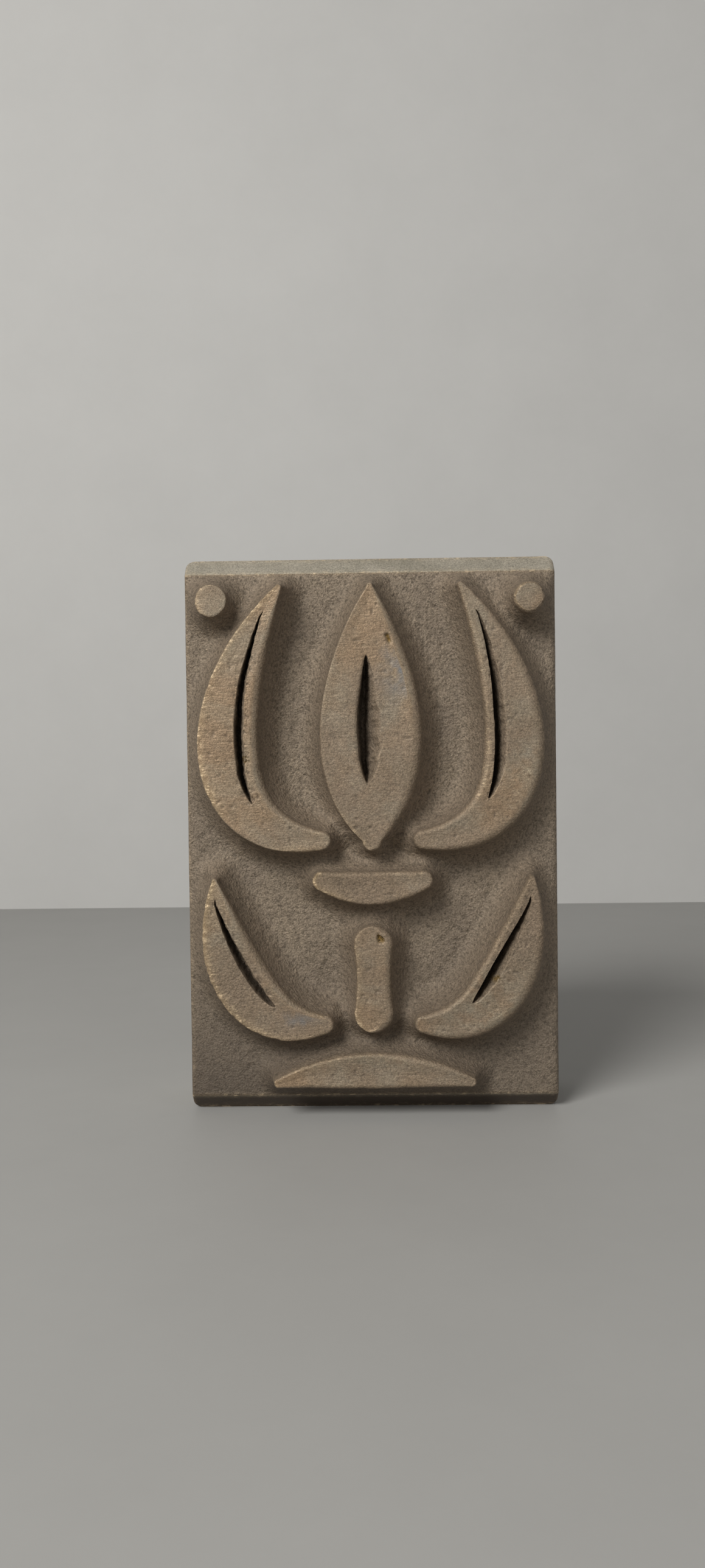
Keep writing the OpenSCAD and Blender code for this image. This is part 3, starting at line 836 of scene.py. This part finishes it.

# %% [markdown]
# ### Bronze, cast and filed
#
# The alloy is a tin bronze, cast in sand. The mould's grains, about 0.35 mm, leave a matt skin that has
# gone grey-brown; an oxide scatters light like paint, so the skin is less of a metal than the alloy. A
# file, and later much rubbing with ink and rags, bared the tops: warmer, silkier, and combed by fine
# lines from side to side, with bright copper-coloured burrs along the rims. On the rims that face left,
# towards the light, that bright colour is partly a painted highlight. Old ink lies in smears, and shade
# is painted into the veins, pits and coves, low on the walls, into the screw pockets and towards the
# foot of the block. One material mixes these by the values stored in the meshes.

# %% Bronze
def bronze(name):
    material, put = new_tree(name)
    place = put("TexCoord", output="Object")
    filed, planed, rubbed, worn, painted_shade, stain, ink, scuffed = (
        put("Attribute", output="Fac", attribute_name=key)
        for key in ("filed", "planed", "rubbed", "worn", "painted_shade", "stain", "ink", "scuffed")
    )

    # Noise scales are features per metre: 1000 mm over the feature's size. The sand grain is drawn at
    # 0.3 mm and the file's lines at 0.25 mm, a bit coarser than real, so that they show from 20 cm.
    dust = put("TexNoise", {"Vector": place, "Scale": 1000/0.2, "Detail": 1.0, "Roughness": 0.5})
    grain = put("TexNoise", {"Vector": place, "Scale": 1000/0.34, "Detail": 2.0, "Roughness": 0.6})
    grit = put("TexNoise", {"Vector": place, "Scale": 1000/0.55, "Detail": 3.0, "Roughness": 0.7})
    lumps = put("TexNoise", {"Vector": place, "Scale": 1000/0.9, "Detail": 3.0, "Roughness": 0.65})
    clouds = put("TexNoise", {"Vector": place, "Scale": 1000/9, "Detail": 5.0, "Roughness": 0.62})
    patches = put("TexNoise", {"Vector": place, "Scale": 1000/14, "Detail": 4.0, "Roughness": 0.7, "Distortion": 0.6})
    combed = put("Mapping", {"Vector": place, "Scale": (0.18, 0.18, 1.0)})
    lines = put("TexNoise", {"Vector": combed, "Scale": 1000/0.25, "Detail": 2.0, "Roughness": 0.6})
    one_way, other_way = (
        put("Mapping", {"Vector": place, "Rotation": (0, turn, 0), "Scale": (length, 1, 1)}, vector_type="TEXTURE")
        for turn, length in ((0.9, 9), (-0.5, 12))
    )
    rising, falling = (
        put("TexNoise", {"Vector": way, "Scale": 1000/0.3, "Detail": 2.0, "Distortion": 0.3})
        for way in (one_way, other_way)
    )

    # Cast skin: grey-brown in soft clouds, browner where rags rubbed it, darker between the grains
    skin = put("ValToRGB", {"Fac": clouds}, stops=[(0.32, colour("#807364")), (0.7, colour("#8d7f6d"))])
    handled = put("ValToRGB", {"Fac": clouds}, stops=[(0.3, colour("#796a57")), (0.7, colour("#837260"))])
    skin = put("Mix", {MIX_SHARE: rubbed, MIX_A: skin, MIX_B: handled}, data_type="RGBA")
    hollow = put("MapRange", {"Value": grit, "From Min": 0.52, "From Max": 0.36, "To Max": 0.85})
    coarse = put("MapRange", {"Value": rubbed, "From Min": 0.6, "From Max": 1.0, "To Min": 0.72, "To Max": 0.25})
    hollow = put("Math", {0: hollow, 1: coarse}, operation="MULTIPLY")
    skin = put("Mix", {MIX_SHARE: hollow, MIX_A: skin, MIX_B: colour("#4e4539")}, data_type="RGBA")
    milled = put("ValToRGB", {"Fac": patches}, stops=[(0.36, colour("#868072")), (0.62, colour("#9b9486"))])
    skin = put("Mix", {MIX_SHARE: planed, MIX_A: skin, MIX_B: milled}, data_type="RGBA")

    # Filed tops: warm tan, worn greyer and greener in patches, with faint darker lines left by the file
    bare = put("ValToRGB", {"Fac": clouds}, stops=[(0.3, colour("#806f5c")), (0.68, colour("#8f7d68"))])
    worn_grey = put("MapRange", {"Value": patches, "From Min": 0.46, "From Max": 0.62, "To Max": 0.7})
    worn_grey = put("Math", {0: worn_grey, 1: scuffed}, operation="MAXIMUM")
    bare = put("Mix", {MIX_SHARE: worn_grey, MIX_A: bare, MIX_B: colour("#8f8878")}, data_type="RGBA")
    golden = put("MapRange", {"Value": filed, "From Min": 0.6, "From Max": 1.0, "To Max": 0.5})
    bare = put("Mix", {MIX_SHARE: golden, MIX_A: bare, MIX_B: colour("#8b7359")}, data_type="RGBA")
    furrow = put("MapRange", {"Value": lines, "From Min": 0.55, "From Max": 0.3, "To Max": 0.26})
    bare = put("Mix", {MIX_SHARE: furrow, MIX_A: bare, MIX_B: colour("#75654f")}, data_type="RGBA")
    scored = put("Math", {0: rising, 1: falling}, operation="MAXIMUM")
    scored = put("MapRange", {"Value": scored, "From Min": 0.62, "From Max": 0.74, "To Max": 0.7})
    scored = put("Math", {0: scored, 1: worn_grey}, operation="MULTIPLY")
    bare = put("Mix", {MIX_SHARE: scored, MIX_A: bare, MIX_B: colour("#b8ab92")}, data_type="RGBA")
    base = put("Mix", {MIX_SHARE: filed, MIX_A: skin, MIX_B: bare}, data_type="RGBA")
    polish_and_highlight = put("MapRange", {"Value": worn, "To Max": 0.38})

    # Fine dust on everything, painted shade in the hollows and low places, a smear of bluish ink, and a
    # flaw's yellow-brown stain with black cracks where one layer of noise crosses its middle value
    speck = put("Mix", {0: 0.5, 2: dust, 3: grain})
    powder = put("MapRange", {"Value": speck, "From Min": 0.32, "From Max": 0.68, "To Min": 0.62, "To Max": 1.38})
    base = put("VectorMath", {0: base, "Scale": powder}, operation="SCALE")
    # Painted shade: dark brown in the veins, pits and coves, low on the walls, in the screw pockets and towards the
    # foot of the block
    base = put("Mix", {MIX_SHARE: painted_shade, MIX_A: base, MIX_B: colour("#42382e")}, data_type="RGBA")
    base = put("Mix", {MIX_SHARE: ink, MIX_A: base, MIX_B: colour("#757371")}, data_type="RGBA")
    base = put("Mix", {MIX_SHARE: stain, MIX_A: base, MIX_B: colour("#7d6434")}, data_type="RGBA")
    off_middle = put("Math", {0: lumps, 1: 0.5}, operation="SUBTRACT")
    off_middle = put("Math", {0: off_middle}, operation="ABSOLUTE")
    crack = put("MapRange", {"Value": off_middle, "From Min": 0.035, "From Max": 0.015})
    crack = put("Math", {0: crack, 1: stain}, operation="MULTIPLY")
    base = put("Mix", {MIX_SHARE: crack, MIX_A: base, MIX_B: colour("#1d1812")}, data_type="RGBA")

    # Bright metal: the rims in broken dashes, short scratches, and nicks the size of a grain. On the rims
    # that face left, towards the light, the bright rim colour is partly a painted highlight.
    base = put("Mix", {MIX_SHARE: polish_and_highlight, MIX_A: base, MIX_B: colour("#b0966f")}, data_type="RGBA")
    dashes = put("MapRange", {"Value": lumps, "From Min": 0.47, "From Max": 0.57})
    teeth = put("MapRange", {"Value": lines, "From Min": 0.48, "From Max": 0.56})
    dashes = put("Math", {0: dashes, 1: teeth}, operation="MULTIPLY")
    dashes = put("Math", {0: dashes, 1: worn}, operation="MULTIPLY")
    nicks = put("MapRange", {"Value": grain, "From Min": 0.77, "From Max": 0.82, "To Max": 0.8})
    bright = put("Math", {0: dashes, 1: nicks}, operation="MAXIMUM")
    base = put("Mix", {MIX_SHARE: bright, MIX_A: base, MIX_B: colour("#e8cfa9")}, data_type="RGBA")

    rough = put("MapRange", {"Value": filed, "To Min": 0.7, "To Max": 0.58})
    rough = put("Math", {0: bright, 1: -0.2, 2: rough}, operation="MULTIPLY_ADD")
    metal = put("MapRange", {"Value": filed, "To Min": 0.45, "To Max": 0.6})
    metal = put("Math", {0: painted_shade, 1: -0.4, 2: metal}, operation="MULTIPLY_ADD")

    sandy = put("Math", {0: lumps, 1: 0.6, 2: grain}, operation="MULTIPLY_ADD")
    sandy = put("Math", {0: grit, 1: 1.0, 2: sandy}, operation="MULTIPLY_ADD")
    combing = put("Math", {0: dust, 1: 0.9, 2: lines}, operation="MULTIPLY_ADD")
    smooth = put("Math", {0: filed, 1: 1.5, 2: planed}, operation="MULTIPLY_ADD", use_clamp=True)
    height = put("Mix", {0: smooth, 2: sandy, 3: combing})
    relief = put("MapRange", {"Value": smooth, "To Min": 0.00022, "To Max": 0.00006})
    bump = put("Bump", {"Height": height, "Strength": 1.0, "Distance": relief})
    shader = put("BsdfPrincipled", {"Base Color": base, "Metallic": metal, "Roughness": rough, "Normal": bump})
    put("OutputMaterial", {"Surface": shader})
    return material


cast_bronze = bronze("cast_bronze_with_filed_faces")

# %% [markdown]
# ### Screw steel
#
# Plain mild steel, turned and left bare, dulls to a dark grey with a brownish bloom. The heads' flat
# ends stay a little brighter where a screwdriver and the press bed have rubbed them.

# %% Steel
def dulled_steel():
    material, put = new_tree("dulled_turned_steel")
    place = put("TexCoord", output="Object")
    bloom = put("TexNoise", {"Vector": place, "Scale": 1000/1.5, "Detail": 4.0, "Roughness": 0.65})
    shade = put("ValToRGB", {"Fac": bloom}, stops=[(0.35, colour("#a09c96")), (0.7, colour("#82776b"))])
    worn = put("Attribute", output="Fac", attribute_name="worn")
    shade = put("Mix", {MIX_SHARE: worn, MIX_A: shade, MIX_B: colour("#b8b4ae")}, data_type="RGBA")
    rough = put("MapRange", {"Value": bloom, "To Min": 0.35, "To Max": 0.55})
    turned = put("TexNoise", {"Vector": place, "Scale": 1000/0.25, "Detail": 2.0})
    bump = put("Bump", {"Height": turned, "Strength": 0.5, "Distance": 0.00003})
    shader = put("BsdfPrincipled", {"Base Color": shade, "Metallic": 1.0, "Roughness": rough, "Normal": bump})
    put("OutputMaterial", {"Surface": shader})
    return material


steel = dulled_steel()

# %% [markdown]
# ## Onto the frame
#
# Each piece gets its finish, rides on the one body and stands for its CAD node.

# %% Ride and replace
for name, piece in pieces.items():
    piece.data.materials.append(steel if name == "form_screws" else cast_bronze)
    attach(piece, "root")
    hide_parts(name)
print("pieces:", len(pieces))

# %% [markdown]
# ## Floor and backdrop
#
# A plain grey floor and a paler wall behind it, as matt paint.

# %% Stage
wall_y = 0.258


def painted(name, code, roughness):
    """Matt paint whose tone wanders by a few percent over hand-sized patches."""
    material, put = new_tree(name)
    place = put("TexCoord", output="Object")
    mottle = put("TexNoise", {"Vector": place, "Scale": 30.0, "Detail": 6.0, "Roughness": 0.7})
    share = put("MapRange", {"Value": mottle, "To Min": 0.94, "To Max": 1.06})
    tone = put("VectorMath", {0: colour(code)[:3], "Scale": share}, operation="SCALE")
    shader = put("BsdfPrincipled", {"Base Color": tone, "Roughness": roughness})
    put("OutputMaterial", {"Surface": shader})
    return material


def stage_sheet(name, corners, material):
    mesh = bpy.data.meshes.new(name)
    mesh.from_pydata(corners, [], [(0, 1, 2, 3)])
    mesh.materials.append(material)
    sheet = bpy.data.objects.new(name, mesh)
    bpy.context.scene.collection.objects.link(sheet)
    return sheet


stage_sheet("floor", [(-2, -2, 0), (2, -2, 0), (2, wall_y, 0), (-2, wall_y, 0)], painted("grey_floor_paint", "#9b9a97", 0.6))
stage_sheet("wall", [(-2, wall_y, 0), (2, wall_y, 0), (2, wall_y, 2), (-2, wall_y, 2)], painted("pale_wall_paint", "#b9b8b5", 0.7))

# %% [markdown]
# ## Light
#
# A broad soft light high on the left gives the relief its dark right-hand and lower walls. A weaker one
# on the right opens the shadows, and the world adds a low, even light.

# %% Lights and world
def softbox(name, place, target, size, watts, tint=(1, 1, 1)):
    lamp = bpy.data.lights.new(name, "AREA")
    lamp.shape, lamp.size, lamp.energy, lamp.color = "DISK", size, watts, tint
    holder = bpy.data.objects.new(name, lamp)
    holder.location = place
    holder.rotation_euler = (Vector(target) - Vector(place)).to_track_quat("-Z", "Y").to_euler()
    bpy.context.scene.collection.objects.link(holder)
    return holder


softbox("key", (-0.32, -0.50, 0.46), (0, 0, 0.045), 0.34, 5.7, (1.0, 0.99, 0.97))
softbox("fill", (0.55, -0.45, 0.15), (0, 0, 0.045), 0.4, 0.8, (0.97, 0.98, 1.0))

world = bpy.data.worlds.new("soft_room")
bpy.context.scene.world = world
world.use_nodes = True
world.node_tree.nodes.clear()
room = add(world.node_tree, "Background", {"Color": colour("#7a7978"), "Strength": 1.0})
add(world.node_tree, "OutputWorld", {"Surface": room})

# %% [markdown]
# ## Camera
#
# The photo was taken by hand with a phone, about 19 cm away and a little above the middle of the face,
# rolled by less than a degree. The lens is that of a phone, about 27 mm on a 36 mm sensor.

# %% Camera
camera_data = bpy.data.cameras.new("camera")
camera_data.lens, camera_data.sensor_width = 27.0, 36.0
camera_data.clip_start, camera_data.clip_end = 0.01, 20.0
camera = bpy.data.objects.new("camera", camera_data)
bpy.context.scene.collection.objects.link(camera)
yaw, pitch, roll = -0.01697, -0.02325, -0.01226
forward = Vector((math.sin(yaw)*math.cos(pitch), math.cos(yaw)*math.cos(pitch), math.sin(pitch)))
level = Vector((math.cos(yaw), -math.sin(yaw), 0))
upward = level.cross(forward)
right = math.cos(roll)*level + math.sin(roll)*upward
up = math.cos(roll)*upward - math.sin(roll)*level
turn = Matrix((right, up, -forward)).transposed()
camera.matrix_world = Matrix.Translation((0.0001, -0.1964, 0.0577)) @ turn.to_4x4()
bpy.context.scene.camera = camera

# %% Finish
bpy.context.scene.view_settings.view_transform = "Standard"
bpy.context.view_layer.update()
